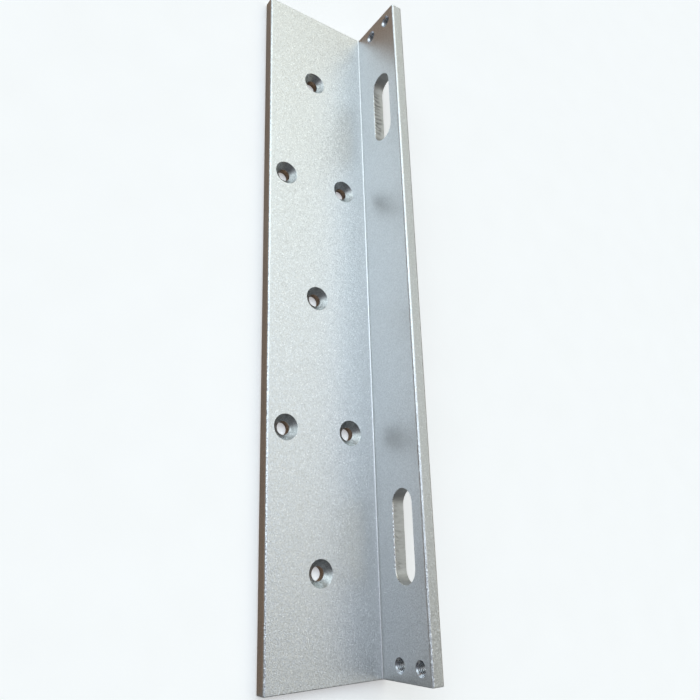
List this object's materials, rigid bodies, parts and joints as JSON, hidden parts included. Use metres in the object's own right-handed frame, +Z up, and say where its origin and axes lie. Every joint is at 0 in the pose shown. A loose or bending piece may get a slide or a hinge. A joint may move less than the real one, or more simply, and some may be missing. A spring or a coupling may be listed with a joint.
{
  "type": "magnetic door lock L-bracket",
  "caption": "Extruded aluminium angle that fixes a magnetic door lock to its frame, with countersunk screw holes in the wide flange, and slots and tapped holes in the narrow one.",
  "frame": {"origin": "middle of the wide flange's flat underside", "axes": "+X along the bracket, +Y from the wide flange's free edge to the narrow flange, +Z up through the wide flange towards the narrow flange's free edge"},
  "size_m": [0.25, 0.0468, 0.0285],
  "materials": {
    "anodised_aluminium": "bead-blasted and clear anodised, satin silver; countersinks, slot walls and threads bare machined metal"
  },
  "bodies": {
    "root": {"bracket": "anodised_aluminium"}
  },
  "joints": []
}
